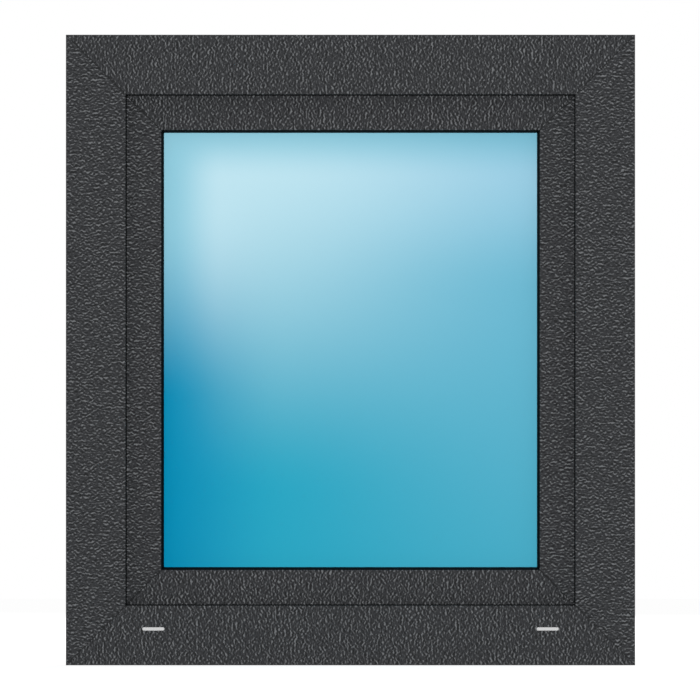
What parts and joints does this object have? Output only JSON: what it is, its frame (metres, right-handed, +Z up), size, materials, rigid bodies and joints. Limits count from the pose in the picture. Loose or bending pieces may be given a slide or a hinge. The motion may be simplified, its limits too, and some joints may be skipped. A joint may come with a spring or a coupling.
{
  "type": "window",
  "caption": "Closed casement window with a dark grained mitred plastic frame and sash, double glazing, drain caps outside, and a handle and hinges inside.",
  "frame": {"origin": "middle of the frame's underside, at mid-depth of the frame", "axes": "+X to the right seen from outside, +Y from outside to inside, +Z up"},
  "size_m": [0.668, 0.1456, 0.74],
  "materials": {
    "grained_profile": "dark grey foil with a leather grain",
    "gasket": "matt black rubber",
    "glass": "clear float glass that mirrors a blue sky",
    "spacer": "bare",
    "glazing_block": "plain",
    "drain_cap": "light grey",
    "handle": "satin anodised",
    "hinge": "silver satin",
    "hinge_pin": "bright"
  },
  "bodies": {
    "root": {"frame_sill": "grained_profile", "frame_head": "grained_profile", "frame_left_jamb": "grained_profile", "frame_right_jamb": "grained_profile", "sash_bottom_rail": "grained_profile", "sash_top_rail": "grained_profile", "sash_left_stile": "grained_profile", "sash_right_stile": "grained_profile", "glazing_bead_bottom": "grained_profile", "glazing_bead_top": "grained_profile", "glazing_bead_left": "grained_profile", "glazing_bead_right": "grained_profile", "frame_gasket": "gasket", "sash_gasket": "gasket", "outer_glazing_gasket": "gasket", "inner_glazing_gasket": "gasket", "outer_pane": "glass", "inner_pane": "glass", "spacer_bar": "spacer", "glazing_blocks": "glazing_block", "drain_cap_left": "drain_cap", "drain_cap_right": "drain_cap", "handle_rosette": "handle", "handle_lever": "handle", "upper_hinge_frame_bearing": "hinge", "upper_hinge_sash_band": "hinge", "upper_hinge_pin": "hinge_pin", "lower_hinge_frame_bearing": "hinge", "lower_hinge_sash_band": "hinge", "lower_hinge_pin": "hinge_pin"}
  },
  "joints": []
}
